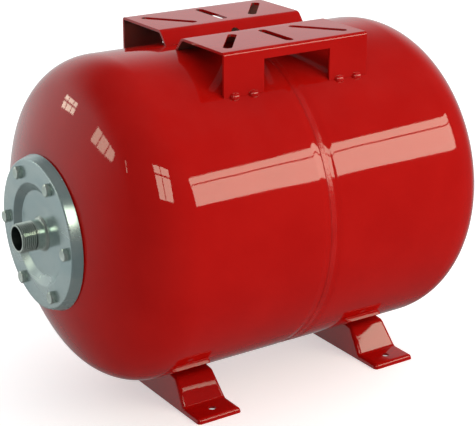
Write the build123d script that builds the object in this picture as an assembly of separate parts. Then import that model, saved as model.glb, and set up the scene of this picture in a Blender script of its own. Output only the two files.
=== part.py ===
from build123d import *
import math
import os

# Horizontal expansion vessel, about 50 litres.
# Frame: millimetres, X along the tank with the water connection at -X, Z up,
# origin on the floor under the middle of the overall length.

# ---------------------------------------------------------------- driving sizes
# Tank
tank_radius = 185.0
straight_half = 170.5  # from the middle of the tank to the start of an end's knuckle
knuckle_radius = 65.0
crown_radius = 302.4
shell_wall = 1.5
paint_gap = 0.1  # between painted or welded curved faces that meet

# Girth joint
seam_x = -3.5  # from the middle of the tank
seam_dip = 0.8
dip_length = 14.0
spigot_length = 12.0
joggle_length = 2.5
edge_gap = 1.0  # from the middle of the seam to the front shell's edge
bead_half_width = 4.0
bead_height = 0.6  # above the bottom of the dip

# Neck at the front end
seat_depth = 12.0  # the flat seat lies this far behind the crown's tip
neck_ring_thickness = 8.0
neck_ring_inner_land = 10.8  # from the neck's hole to the bolt circle
neck_ring_outer_land = 9.2  # from the bolt circle to the ring's outside

# Flange cover
cover_sheet = 2.0
cover_stand_off = 12.4  # from the seat to the cover's front face
cover_rim_land = 16.5  # from the bolt circle to the skirt's rim
cover_skirt_taper = 4.2
cover_skirt_length = 11.0
recess_land = 13.5  # from the bolt circle in to the recess
recess_slope_width = 9.3
recess_depth = 6.4
cover_bend = 2.6
recess_bend = 2.5

# Water connection, G 1
nipple_radius = 16.625
nipple_bore_radius = 13.3
nipple_length = 31.7
nipple_chamfer = 1.2
nipple_root_step = 0.225  # the root inside the weld collar is this much thinner
nipple_root_length = 6.0
collar_width = 4.0
collar_height = 3.2

# Flange bolts, M8 hexagon
bolt_count = 6
bolt_circle_radius = 70.8
bolt_radius = 4.0
bolt_hole_radius = 4.5
bolt_length = 25.0
bolt_head_height = 5.3
bolt_head_flats = 13.0
thread_gap = 0.05

# Bladder
bladder_wall = 2.5
bladder_lip_gap = 0.8  # between the lip and the bolt holes
bladder_lip_width = 6.5
bladder_neck_gap = 0.5
bladder_neck_length = 22.0
bladder_side_gap = 33.5  # between the bag and the tank's wall
bladder_shoulder = 70.0
bladder_end_gap = 60.0
bladder_end_round = 90.0

# Pump brackets
bracket_half_length = 95.35
bracket_sheet = 3.0
bracket_height = 15.0  # top face above the top of the tank
bracket_inner_edge = 22.7
bracket_outer_edge = 107.1
inner_flange_angle = 40.0  # from upright, leaning over the top of the tank
outer_bend = 4.0
inner_bend = 9.0
slot_width = 10.0
slot_length = 60.0
slot_centre = 65.5
diagonal_slot_length = 67.6
diagonal_slot_x = 59.0
diagonal_slot_y = 63.5
diagonal_slot_angle = 51.6
window_half_length = 43.7
window_drop = 12.4  # from the bracket's top face to the window's upper edge
notch_radius = 6.5
notch_drop = 7.2

# Feet
front_foot_inset = 67.0  # from the front knuckle's start to the foot's middle
rear_foot_inset = 19.0
foot_sheet = 3.0
foot_width = 59.0
foot_half_length = 113.5
foot_height = 37.3  # under the tank
foot_draft = 7.0
saddle_half_width = 22.0
foot_shoulder_y = 57.5
foot_shoulder_drop = 2.3
foot_slope_end_y = 80.0
foot_tab_height = 6.0
foot_tip_lean = 1.5
foot_edge_round = 5.0
foot_hole_radius = 4.5
foot_hole_pitch = 190.0

# Air valve at the rear end
boss_radius = 13.0
boss_height = 5.0  # in front of the crown's tip
boss_depth = 6.0
stem_shank_radius = 6.5
air_hole_radius = 1.2
valve_seal_thickness = 1.0
valve_seal_radius = 9.0
stem_hex_flats = 14.0
stem_hex_height = 3.0
stem_radius = 3.85
stem_length = 7.0
running_gap = 0.05
core_bore_radius = 2.6
core_length = 5.5
core_recess = 0.6  # from the stem's end to the core's end
core_guide_length = 1.0
core_air_radius = 1.1
core_pin_radius = 0.5
core_pin_recess = 0.3
core_seal_radius = 1.9
core_seal_thickness = 0.8
pin_flange_radius = 1.7
pin_flange_thickness = 0.6
spring_room = 5.0
spring_radius = 1.4
spring_wire = 0.3
spring_turns = 5
cap_radius = 5.2
cap_top = 1.4
cap_grip = 3.4  # length of stem inside the cap's thread
cap_washer_thickness = 0.6
cap_rib_count = 18
cap_rib_radius = 0.35
boss_weld_width = 1.6
boss_weld_height = 1.5

# Valve cover
cover_cap_head_room = 0.24  # above the dust cap when it is fully unscrewed
cover_cap_radius = 25.0
cover_cap_wall = 2.0
cover_cap_sleeve_wall = 1.8
cover_cap_fit = 0.25
cover_cap_rim_gap = 0.3
cover_cap_sleeve_start = 2.0  # in front of the crown's tip
cover_cap_round = 6.0

# Welds
tack_radius = 4.0
tack_length = 12.0
foot_weld_radius = 4.0

# ---------------------------------------------------------------- worked out
axis_height = tank_radius + foot_height
crown_centre = straight_half - math.sqrt(
    (crown_radius - knuckle_radius) ** 2 - (tank_radius - knuckle_radius) ** 2
)
crown_tip = crown_centre + crown_radius
crown_angle = math.degrees(math.atan2(tank_radius - knuckle_radius, straight_half - crown_centre))
seat_x = crown_tip - seat_depth
cover_face_x = seat_x + cover_stand_off
cover_back_x = cover_face_x - cover_sheet
disc_back_x = cover_face_x - recess_depth - cover_sheet
nipple_end_x = disc_back_x + nipple_length
ring_back_x = seat_x - shell_wall - neck_ring_thickness
boss_face_x = crown_tip + boss_height
hex_start_x = boss_face_x + valve_seal_thickness
hex_end_x = hex_start_x + stem_hex_height
stem_end_x = hex_end_x + stem_length
core_high_x = stem_end_x - core_recess
core_low_x = core_high_x - core_length
seal_back_x = core_low_x - running_gap - core_seal_thickness
pin_back_x = seal_back_x - pin_flange_thickness
spring_floor_x = pin_back_x - spring_room
cap_inside_x = stem_end_x + cap_washer_thickness + 2 * running_gap
cap_lifted_x = cap_inside_x + cap_top + cap_grip
cover_end_x = cap_lifted_x + cover_cap_head_room + cover_cap_wall
bracket_top = tank_radius + bracket_height

nipple_root_radius = nipple_radius - nipple_root_step
neck_hole_radius = bolt_circle_radius - neck_ring_inner_land
neck_ring_radius = bolt_circle_radius + neck_ring_outer_land
cover_rim_radius = bolt_circle_radius + cover_rim_land
cover_face_radius = cover_rim_radius - cover_skirt_taper
recess_outer_radius = bolt_circle_radius - recess_land
recess_inner_radius = recess_outer_radius - recess_slope_width
bladder_lip_outer = bolt_circle_radius - bolt_hole_radius - bladder_lip_gap
bladder_lip_inner = bladder_lip_outer - bladder_lip_width
bladder_radius = tank_radius - shell_wall - bladder_side_gap
front_foot_x = front_foot_inset - straight_half
rear_foot_x = straight_half - rear_foot_inset

parts = {}


# ---------------------------------------------------------------- helpers
def on_axis(solid):
    """Lift a solid made about the X axis to the tank's axis."""
    return Pos(0, 0, axis_height) * solid


def front_end(solid):
    """Turn a solid made for the +X end round to the -X end, on the tank's axis."""
    return on_axis(Rot(0, 0, 180) * solid)


def turned(face):
    """Revolve a half section, drawn as (x, radius), about the X axis."""
    return revolve(face, axis=Axis.X, revolution_arc=360)


def ring(x_low, x_high, inner, outer):
    """A ring about the X axis; an inner radius of 0 gives a disc."""
    middle = Pos((x_low + x_high) / 2, (inner + outer) / 2)
    return turned(middle * Rectangle(x_high - x_low, outer - inner))


def offset_points(points, distance):
    """The corners of a line drawn beside a polyline, to its left by a distance."""
    normals = []
    for (x0, y0), (x1, y1) in zip(points, points[1:]):
        length = math.hypot(x1 - x0, y1 - y0)
        normals.append(((y0 - y1) / length, (x1 - x0) / length))
    normals = [normals[0]] + normals + [normals[-1]]
    moved = []
    for (x, y), (ax, ay), (bx, by) in zip(points, normals, normals[1:]):
        scale = distance / (1 + ax * bx + ay * by)
        moved.append((x + (ax + bx) * scale, y + (ay + by) * scale))
    return moved


def bend_sides(points):
    """For each corner of a polyline: 1 where it turns left, -1 where it turns right."""
    sides = []
    for (x0, y0), (x1, y1), (x2, y2) in zip(points, points[1:], points[2:]):
        cross = (x1 - x0) * (y2 - y1) - (y1 - y0) * (x2 - x1)
        sides.append(1 if cross > 0 else -1)
    return sides


def sheet_section(points, radii, thickness):
    """The section of bent sheet: a polyline with rounded bends, thickened to its left."""
    inner_points = offset_points(points, thickness)
    inner_radii = [max(r - side * thickness, 0.5) for r, side in zip(radii, bend_sides(points))]
    outer_line = FilletPolyline(*points, radius=radii)
    inner_line = FilletPolyline(*inner_points, radius=inner_radii)
    ends = [Line(points[0], inner_points[0]), Line(points[-1], inner_points[-1])]
    return make_face(outer_line.edges() + inner_line.edges() + ends)


def hexagon_prism(flats, height):
    """A hexagon bar from the YZ plane towards +X."""
    bar = extrude(RegularPolygon(flats / 2, 6, major_radius=False), amount=height)
    return Rot(0, 90, 0) * bar


# ---------------------------------------------------------------- tank shells
def end_section(inward, tip_line, seam):
    """Outline of a domed end's outer or inner face, from the end of the seam dip to tip_line.

    inward is the distance inside the outer face; tip_line is the x where the crown stops.
    """
    knuckle = knuckle_radius - inward
    crown = crown_radius - inward
    straight_start = (seam + dip_length, tank_radius - inward)
    straight_end = (straight_half, tank_radius - inward)
    stop = (tip_line, math.sqrt(crown ** 2 - (tip_line - crown_centre) ** 2))
    stop_angle = math.degrees(math.atan2(stop[1], stop[0] - crown_centre))
    edges = [
        Line(straight_start, straight_end),
        CenterArc((straight_half, tank_radius - knuckle_radius), knuckle, 90, crown_angle - 90),
        CenterArc((crown_centre, 0), crown, crown_angle, stop_angle - crown_angle),
    ]
    return edges, stop


def seam_dip_lines(inward, x_edge, seam):
    """The shallow dip beside the seam: level under the weld bead, then up to the tank's full radius."""
    low = tank_radius - seam_dip - inward
    high = tank_radius - inward
    land = seam + edge_gap + bead_half_width
    top = seam + dip_length
    middle = (land + top) / 2
    level = Line((x_edge, low), (land, low))
    rise = Bezier((land, low), (middle, low), (middle, high), (top, high))
    return [level, rise]


def make_front_shell():
    seam = -seam_x
    edge = seam + edge_gap
    outer, outer_stop = end_section(0, seat_x, seam)
    inner, inner_stop = end_section(shell_wall, seat_x - shell_wall, seam)
    low = tank_radius - seam_dip
    edges = outer + inner + seam_dip_lines(0, edge, seam) + seam_dip_lines(shell_wall, edge, seam)
    edges += [
        Line((edge, low), (edge, low - shell_wall)),
        Line(outer_stop, (seat_x, neck_hole_radius)),
        Line((seat_x, neck_hole_radius), (seat_x - shell_wall, neck_hole_radius)),
        Line((seat_x - shell_wall, neck_hole_radius), inner_stop),
    ]
    shell = turned(make_face(edges))
    for hole in bolt_places(bolt_hole_radius, seat_x - 2 * shell_wall, seat_x + shell_wall):
        shell -= hole
    return front_end(shell)


def make_rear_shell():
    hole = boss_radius + paint_gap
    reach = math.sqrt(crown_radius ** 2 - hole ** 2) + crown_centre
    inner_reach = math.sqrt((crown_radius - shell_wall) ** 2 - hole ** 2) + crown_centre
    outer, outer_stop = end_section(0, reach, seam_x)
    inner, inner_stop = end_section(shell_wall, inner_reach, seam_x)
    low = tank_radius - seam_dip
    joggle_start = seam_x + edge_gap
    joggle_end = joggle_start + joggle_length
    spigot = low - shell_wall - paint_gap
    spigot_end = seam_x - spigot_length
    edges = outer + inner
    edges += seam_dip_lines(0, joggle_end, seam_x) + seam_dip_lines(shell_wall, joggle_end, seam_x)
    edges += [
        Line((joggle_end, low), (joggle_start, spigot)),
        Line((joggle_start, spigot), (spigot_end, spigot)),
        Line((spigot_end, spigot), (spigot_end, spigot - shell_wall)),
        Line((spigot_end, spigot - shell_wall), (joggle_start, spigot - shell_wall)),
        Line((joggle_start, spigot - shell_wall), (joggle_end, low - shell_wall)),
        Line(outer_stop, inner_stop),
    ]
    return on_axis(turned(make_face(edges)))


def make_girth_weld():
    low = tank_radius - seam_dip
    spigot = low - shell_wall - paint_gap
    front_edge = seam_x - edge_gap
    joggle_start = seam_x + edge_gap
    joggle_end = joggle_start + joggle_length
    left = (seam_x - bead_half_width, low)
    right = (seam_x + bead_half_width, low)
    edges = [
        ThreePointArc(left, (seam_x, low + bead_height), right),
        Line(right, (joggle_end, low)),
        Line((joggle_end, low), (joggle_start, spigot)),
        Line((joggle_start, spigot), (front_edge, spigot)),
        Line((front_edge, spigot), (front_edge, low)),
        Line((front_edge, low), left),
    ]
    return on_axis(turned(make_face(edges)))


# ---------------------------------------------------------------- flange end
def bolt_places(radius, x_low, x_high):
    """Bars along X on the bolt circle, for holes."""
    bar = Rot(0, 90, 0) * Cylinder(radius, x_high - x_low)
    bars = []
    for i in range(bolt_count):
        angle = math.radians(i * 360 / bolt_count)
        y = bolt_circle_radius * math.cos(angle)
        z = bolt_circle_radius * math.sin(angle)
        bars.append(Pos((x_low + x_high) / 2, y, z) * bar)
    return bars


def make_neck_ring():
    body = ring(ring_back_x, seat_x - shell_wall, neck_hole_radius + paint_gap, neck_ring_radius)
    for hole in bolt_places(bolt_radius + thread_gap, ring_back_x - 1, seat_x):
        body -= hole
    return front_end(body)


def make_flange_cover():
    points = [
        (cover_face_x - cover_skirt_length, cover_rim_radius),
        (cover_face_x, cover_face_radius),
        (cover_face_x, recess_outer_radius),
        (cover_face_x - recess_depth, recess_inner_radius),
        (cover_face_x - recess_depth, nipple_root_radius + paint_gap),
    ]
    section = sheet_section(points[::-1], [recess_bend, recess_bend, cover_bend], cover_sheet)
    body = turned(section)
    for hole in bolt_places(bolt_hole_radius, cover_back_x - 1, cover_face_x + 1):
        body -= hole
    return front_end(body)


def make_water_nipple():
    root_end = disc_back_x + nipple_root_length
    tip = nipple_end_x - nipple_chamfer
    section = Polygon(
        (disc_back_x, nipple_bore_radius),
        (disc_back_x, nipple_root_radius),
        (root_end, nipple_root_radius),
        (root_end, nipple_radius),
        (tip, nipple_radius),
        (nipple_end_x, nipple_radius - nipple_chamfer),
        (nipple_end_x, nipple_bore_radius),
        align=None,
    )
    return front_end(turned(section))


def make_nipple_weld():
    face = cover_face_x - recess_depth
    inner = nipple_root_radius + paint_gap / 2
    edges = [
        Line((face, inner), (face, inner + collar_width)),
        Spline(
            (face, inner + collar_width),
            (face + collar_height * 0.35, inner + collar_width * 0.55),
            (face + collar_height, inner),
        ),
        Line((face + collar_height, inner), (face, inner)),
    ]
    return front_end(turned(make_face(edges)))


def make_flange_bolts():
    head = hexagon_prism(bolt_head_flats, bolt_head_height)
    cone_radius = bolt_head_flats / 2 / math.cos(math.radians(30)) + 0.1
    top = Rot(0, 90, 0) * Cylinder(cone_radius, 2 * bolt_head_height)
    top = chamfer(top.edges().filter_by(GeomType.CIRCLE), 0.5, 1.0)
    head = head & top
    shank = Pos(-bolt_length / 2, 0, 0) * Rot(0, 90, 0) * Cylinder(bolt_radius, bolt_length)
    bolt = head + shank
    bolts = []
    for i in range(bolt_count):
        angle = i * 360 / bolt_count
        place = Pos(cover_face_x, 0, 0) * Rot(angle, 0, 0) * Pos(0, bolt_circle_radius, 0)
        bolts.append(front_end(place * bolt))
    return Compound(children=bolts)


def make_bladder():
    lip_front = cover_back_x - paint_gap
    neck = neck_hole_radius - bladder_neck_gap
    neck_end = seat_x - bladder_neck_length
    bag_start = neck_end - bladder_shoulder
    bag_end = bladder_end_gap - straight_half - knuckle_radius
    points = [
        (neck_end + bladder_neck_length, neck),
        (neck_end, neck),
        (bag_start, bladder_radius),
        (bag_end, bladder_radius),
        (bag_end, 0.0),
    ]
    inner = offset_points(points, bladder_wall)
    rounds = [10.0, 50.0, bladder_end_round]
    inner_rounds = [10.0 + bladder_wall, 50.0 - bladder_wall, bladder_end_round - bladder_wall]
    outer_line = FilletPolyline(*points, radius=rounds)
    inner_line = FilletPolyline(*inner, radius=inner_rounds)
    edges = outer_line.edges() + inner_line.edges() + [
        Line(points[0], (seat_x, bladder_lip_outer)),
        Line((seat_x, bladder_lip_outer), (lip_front, bladder_lip_outer)),
        Line((lip_front, bladder_lip_outer), (lip_front, bladder_lip_inner)),
        Line((lip_front, bladder_lip_inner), inner[0]),
        Line(points[-1], inner[-1]),
    ]
    return front_end(turned(make_face(edges)))


# ---------------------------------------------------------------- pump brackets
def tank_bar(extra, half_length):
    """A cylinder along X, larger than the tank by a gap."""
    return Rot(0, 90, 0) * Cylinder(tank_radius + extra, 2 * half_length)


def make_bracket():
    """The bracket on the +Y side, about the tank's axis."""
    lean = math.tan(math.radians(inner_flange_angle))
    inner_drop = bracket_height + bracket_sheet
    outer_bottom = math.sqrt(tank_radius ** 2 - bracket_outer_edge ** 2) - bracket_sheet
    points = [
        (bracket_inner_edge - inner_drop * lean, bracket_top - inner_drop),
        (bracket_inner_edge, bracket_top),
        (bracket_outer_edge, bracket_top),
        (bracket_outer_edge, outer_bottom),
    ]
    section = sheet_section(points[::-1], [outer_bend, inner_bend], bracket_sheet)
    body = extrude(Plane.YZ * section, amount=bracket_half_length, both=True)
    body -= tank_bar(paint_gap, 2 * bracket_half_length)
    body -= Pos(0, slot_centre, bracket_top) * extrude(
        SlotOverall(slot_length, slot_width, rotation=90), amount=4 * bracket_sheet, both=True
    )
    for side in (-1, 1):
        slot_turn = 90 - side * (90 - diagonal_slot_angle)
        slot = SlotOverall(diagonal_slot_length, slot_width, rotation=slot_turn)
        body -= Pos(side * diagonal_slot_x, diagonal_slot_y, bracket_top) * extrude(
            slot, amount=4 * bracket_sheet, both=True
        )
    window_top = bracket_top - window_drop
    body -= Pos(0, bracket_outer_edge, window_top - tank_radius / 2) * Box(
        2 * window_half_length, 5 * bracket_sheet, tank_radius
    )
    notch_centre = bracket_top - notch_drop - notch_radius
    notch = Cylinder(notch_radius, bracket_inner_edge) + Pos(0, notch_radius * 2, 0) * Box(
        2 * notch_radius, 4 * notch_radius, bracket_inner_edge
    )
    body -= Pos(0, bracket_inner_edge / 2, notch_centre) * Rot(-90, 0, 0) * notch
    return body


def weld_beads(places, length, radius, solids):
    """Beads along X or Y at the given (x, y, z, turn) places, trimmed clear of the given solids."""
    beads = []
    for x, y, z, turn in places:
        bead = Cylinder(radius, length - 2 * radius)
        for end in (-1, 1):
            bead += Pos(0, 0, end * (length / 2 - radius)) * Sphere(radius)
        bead = Pos(x, y, z) * Rot(0, 0, turn) * Rot(0, 90, 0) * bead
        for solid in solids:
            bead -= solid
        beads.append(bead.solids().sort_by(SortBy.VOLUME)[-1])
    return beads


def make_bracket_welds(bracket):
    """Tack welds at the feet of the bracket's two flanges, on the +Y side."""
    leg_z = math.sqrt(tank_radius ** 2 - bracket_outer_edge ** 2)
    lean = math.tan(math.radians(inner_flange_angle))
    inner_y = bracket_inner_edge - bracket_height * lean
    inner_z = math.sqrt(tank_radius ** 2 - inner_y ** 2)
    leg_middle = (window_half_length + bracket_half_length) / 2
    places = []
    for side in (-1, 1):
        for shift in (-1, 1):
            tack_x = side * (leg_middle + shift * tack_length)
            places.append((tack_x, bracket_outer_edge + 0.5, leg_z + 0.5, 0))
        places.append((side * leg_middle, inner_y - 1.5, inner_z + 0.5, 0))
    half = 2 * bracket_half_length
    return weld_beads(places, tack_length, tack_radius, [tank_bar(paint_gap / 2, half), bracket])


# ---------------------------------------------------------------- feet
def foot_line(inward):
    """Half of the foot's outline in (y, height), from the middle to the floor, moved inwards."""
    sink = tank_radius - math.sqrt(tank_radius ** 2 - saddle_half_width ** 2)
    points = [
        (0.0, foot_height - paint_gap),
        (saddle_half_width, foot_height - paint_gap + sink),
        (foot_shoulder_y, foot_height - foot_shoulder_drop),
        (foot_slope_end_y, foot_tab_height),
        (foot_half_length - foot_tip_lean, foot_tab_height),
        (foot_half_length, 0.0),
    ]
    moved = offset_points(points, -inward)
    moved[0] = (0.0, foot_height - paint_gap - inward)
    return moved


def foot_block(inward):
    """The solid block inside the foot's outer face, or inside its sheet."""
    half = foot_line(inward)
    rounds = [6.0, 9.0 - inward, 5.0 + inward, 4.5 - inward]
    reach = half[-1][0]
    line = [(-y, z) for y, z in half[:0:-1]] + half[1:]
    turned_rounds = rounds[::-1] + rounds
    outline = FilletPolyline(*line, radius=turned_rounds)
    floor = Line(line[0], line[-1])
    block = extrude(Plane.YZ * make_face(outline.edges() + [floor]), amount=foot_width, both=True)
    top = foot_height + 2 * foot_sheet
    narrow = top * math.tan(math.radians(foot_draft))
    half_base = foot_width / 2 - inward / math.cos(math.radians(foot_draft))
    wedge = Polygon(
        (-half_base, 0),
        (half_base, 0),
        (half_base - narrow, top),
        (narrow - half_base, top),
        align=None,
    )
    block &= extrude(Plane.XZ * wedge, amount=2 * reach, both=True)
    if inward == 0:
        upper_edges = block.edges().filter_by(lambda edge: edge.center().Z > foot_sheet / 10)
        across = upper_edges.filter_by(Axis.X)
        block = fillet([edge for edge in upper_edges if edge not in across], foot_edge_round)
    return block


def make_foot():
    """A pressed foot across the tank, on the floor, about x = 0."""
    outer = foot_block(0)
    outer -= Pos(0, 0, axis_height) * tank_bar(paint_gap, foot_width)
    body = outer - foot_block(foot_sheet)
    for side in (-1, 1):
        hole = Cylinder(foot_hole_radius, 4 * foot_sheet)
        body -= Pos(0, side * foot_hole_pitch / 2, foot_tab_height) * hole
    return body


def make_foot_welds(foot):
    """Beads across the tank along the foot's upper edges, about x = 0."""
    half_top = foot_width / 2 - foot_height * math.tan(math.radians(foot_draft))
    places = [(side * half_top, 0, foot_height - foot_weld_radius / 2, 90) for side in (-1, 1)]
    tank = Pos(0, 0, axis_height) * tank_bar(paint_gap / 2, foot_width)
    return weld_beads(places, 1.4 * saddle_half_width, foot_weld_radius, [tank, foot])


# ---------------------------------------------------------------- air valve
def make_valve_boss():
    return on_axis(ring(crown_tip - boss_depth, boss_face_x, stem_shank_radius + thread_gap, boss_radius))


def make_boss_weld():
    inner = boss_radius + paint_gap / 2
    outer = inner + boss_weld_width
    foot_x = crown_centre + math.sqrt((crown_radius + paint_gap / 2) ** 2 - inner ** 2)
    edge_x = crown_centre + math.sqrt((crown_radius + paint_gap / 2) ** 2 - outer ** 2)
    section = Polygon((foot_x, inner), (edge_x, outer), (foot_x + boss_weld_height, inner), align=None)
    return on_axis(turned(section))


def make_valve_stem():
    body = ring(crown_tip - boss_depth, hex_start_x, 0, stem_shank_radius)
    body += Pos(hex_start_x, 0, 0) * hexagon_prism(stem_hex_flats, stem_hex_height)
    body += ring(hex_end_x, stem_end_x, 0, stem_radius)
    body -= ring(spring_floor_x, stem_end_x + 1, 0, core_bore_radius)
    body -= ring(crown_tip - boss_depth - 1, spring_floor_x, 0, air_hole_radius)
    return on_axis(body)


def make_valve_core():
    core = ring(core_low_x, core_high_x, 0, core_bore_radius - thread_gap)
    core -= ring(core_low_x - 1, core_high_x - core_guide_length, 0, core_air_radius)
    core -= ring(core_low_x, core_high_x + 1, 0, core_pin_radius + running_gap)
    return on_axis(core)


def make_valve_pin():
    pin = ring(pin_back_x, stem_end_x - core_pin_recess, 0, core_pin_radius)
    pin += ring(pin_back_x, seal_back_x, 0, pin_flange_radius)
    return on_axis(pin)


def make_core_seal():
    return on_axis(ring(seal_back_x, seal_back_x + core_seal_thickness, core_pin_radius, core_seal_radius))


def make_core_spring():
    """Coil spring between the floor of the stem's bore and the pin's flange."""
    height = spring_room - spring_wire - 2 * running_gap
    path = Helix(height / spring_turns, height, spring_radius)
    wire = sweep(Plane(path @ 0, z_dir=path % 0) * Circle(spring_wire / 2), path=path, is_frenet=True)
    return on_axis(Pos(spring_floor_x + spring_wire / 2 + running_gap, 0, 0) * Rot(0, 90, 0) * wire)


def make_dust_cap():
    low = stem_end_x - cap_grip
    cap = ring(low, cap_inside_x + cap_top, 0, cap_radius)
    cap -= ring(low - 1, cap_inside_x, 0, stem_radius + running_gap)
    rib_gap = Rot(0, 90, 0) * Cylinder(cap_rib_radius, 2 * (cap_grip + cap_washer_thickness))
    for i in range(cap_rib_count):
        cap -= Pos(low, 0, 0) * Rot(i * 360 / cap_rib_count, 0, 0) * Pos(0, cap_radius, 0) * rib_gap
    return on_axis(cap)


def make_valve_cover():
    """Round plastic cover, pushed with its inner sleeve over the boss."""
    inside = cover_cap_radius - cover_cap_wall
    rim_x = crown_centre + math.sqrt(crown_radius ** 2 - inside ** 2) + cover_cap_rim_gap
    bowl = Polygon(
        (rim_x, cover_cap_radius), (cover_end_x, cover_cap_radius), (cover_end_x, 0), (rim_x, 0), align=None
    )
    outer_corner = bowl.vertices().sort_by(Axis.X)[-2:].sort_by(Axis.Y)[-1]
    body = turned(fillet(outer_corner, cover_cap_round))
    hollow = Polygon(
        (rim_x - 1, inside), (cover_end_x - cover_cap_wall, inside), (cover_end_x - cover_cap_wall, 0),
        (rim_x - 1, 0), align=None,
    )
    inner_corner = hollow.vertices().sort_by(Axis.X)[-2:].sort_by(Axis.Y)[-1]
    body -= turned(fillet(inner_corner, cover_cap_round - cover_cap_wall))
    sleeve_inner = boss_radius + cover_cap_fit
    body += ring(
        crown_tip + cover_cap_sleeve_start,
        cover_end_x - cover_cap_wall / 2,
        sleeve_inner,
        sleeve_inner + cover_cap_sleeve_wall,
    )
    return on_axis(body)


# ---------------------------------------------------------------- assembly
parts["front_shell"] = make_front_shell()
parts["rear_shell"] = make_rear_shell()
parts["girth_weld"] = make_girth_weld()
parts["neck_ring"] = make_neck_ring()
parts["bladder"] = make_bladder()
parts["flange_cover"] = make_flange_cover()
parts["water_nipple"] = make_water_nipple()
parts["nipple_weld"] = make_nipple_weld()
parts["flange_bolts"] = make_flange_bolts()
bracket = make_bracket()
parts["far_pump_bracket"] = on_axis(bracket)
parts["near_pump_bracket"] = on_axis(mirror(bracket, about=Plane.XZ))
bracket_welds = Compound(children=make_bracket_welds(bracket))
parts["far_bracket_welds"] = on_axis(bracket_welds)
parts["near_bracket_welds"] = on_axis(mirror(bracket_welds, about=Plane.XZ))
foot = make_foot()
foot_welds = Compound(children=make_foot_welds(foot))
for end, foot_x in (("front", front_foot_x), ("rear", rear_foot_x)):
    place = Pos(foot_x, 0, 0)
    parts[f"{end}_foot"] = place * foot
    parts[f"{end}_foot_welds"] = place * foot_welds
parts["valve_boss"] = make_valve_boss()
parts["boss_weld"] = make_boss_weld()
parts["valve_seal"] = on_axis(
    ring(boss_face_x, hex_start_x, stem_shank_radius + thread_gap, valve_seal_radius)
)
parts["valve_stem"] = make_valve_stem()
parts["valve_core"] = make_valve_core()
parts["valve_pin"] = make_valve_pin()
parts["core_seal"] = make_core_seal()
parts["core_spring"] = make_core_spring()
parts["dust_cap"] = make_dust_cap()
parts["dust_cap_washer"] = on_axis(
    ring(stem_end_x + running_gap, cap_inside_x - running_gap, air_hole_radius, stem_radius)
)
parts["valve_cover"] = make_valve_cover()

os.makedirs("parts", exist_ok=True)
for name, solid in parts.items():
    solid.label = name
    export_step(solid, f"parts/{name}.step")
    print(name, len(solid.solids()), round(solid.volume, 1))
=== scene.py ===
# %% [markdown]
# # A horizontal expansion vessel, from its frame to its finish
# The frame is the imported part: every piece has its true place in it. This lesson gives each piece a
# surface worth looking at. Some shapes are kept from the frame and only get softer edges. Turned
# pieces are drawn again as smooth turned meshes, and whatever repeats is made by Geometry Nodes.

# %% Load the frame
import math

import bmesh
import bpy
from mathutils import Matrix, Vector


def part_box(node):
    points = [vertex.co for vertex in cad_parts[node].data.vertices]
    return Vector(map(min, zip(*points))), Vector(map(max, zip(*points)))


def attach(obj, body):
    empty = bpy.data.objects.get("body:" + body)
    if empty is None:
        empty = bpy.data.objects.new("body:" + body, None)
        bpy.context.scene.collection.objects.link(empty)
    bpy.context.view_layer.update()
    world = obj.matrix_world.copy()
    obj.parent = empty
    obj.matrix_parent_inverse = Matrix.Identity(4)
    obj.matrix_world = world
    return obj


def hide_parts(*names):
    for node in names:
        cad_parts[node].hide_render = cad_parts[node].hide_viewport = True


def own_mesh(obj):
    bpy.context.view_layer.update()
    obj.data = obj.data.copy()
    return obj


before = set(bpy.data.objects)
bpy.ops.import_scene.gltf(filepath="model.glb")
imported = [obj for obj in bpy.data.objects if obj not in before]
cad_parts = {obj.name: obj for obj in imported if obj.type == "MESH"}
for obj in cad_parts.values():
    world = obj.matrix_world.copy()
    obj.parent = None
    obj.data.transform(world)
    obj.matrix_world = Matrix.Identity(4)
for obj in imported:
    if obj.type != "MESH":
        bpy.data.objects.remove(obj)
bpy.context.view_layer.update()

# %% [markdown]
# ## Sizes
# Places and outer sizes are read from the boxes of the frame's own pieces. The few sizes that a box
# can't tell, such as a bend's radius or a sheet's thickness, are named here in metres.

# %% Sizes
MM = 0.001
shell_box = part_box("front_shell")
TANK_RADIUS = (shell_box[1].y - shell_box[0].y) / 2
nipple_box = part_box("water_nipple")
AXIS_HEIGHT = (nipple_box[0].z + nipple_box[1].z) / 2
STRAIGHT_HALF = 170.5 * MM
KNUCKLE = 65 * MM
CROWN = 302.4 * MM
SHELL_WALL = 1.5 * MM
BEAD_HALF = 4 * MM
SEAM_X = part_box("girth_weld")[0].x + BEAD_HALF
SEAM_DIP = 0.8 * MM
DIP_LENGTH = 14 * MM
EDGE_GAP = 1 * MM
COVER_STAND_OFF = 12.4 * MM
NECK_RING_HOLE = 60 * MM
NECK_RING_OUTSIDE = 80 * MM
CROWN_CENTRE = STRAIGHT_HALF - math.sqrt((CROWN - KNUCKLE) ** 2 - (TANK_RADIUS - KNUCKLE) ** 2)
print("tank radius", round(TANK_RADIUS, 4), "seam at", round(SEAM_X, 4))

# %% [markdown]
# ## Turned pieces
# A tank end, a flange or a cap is a drawn line turned about an axis. `rounded` puts an arc in each
# corner of such a line, and `turn` spins it about the tank's axis. The normals are worked out again
# once the mesh is closed, so that every face points outwards.


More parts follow.
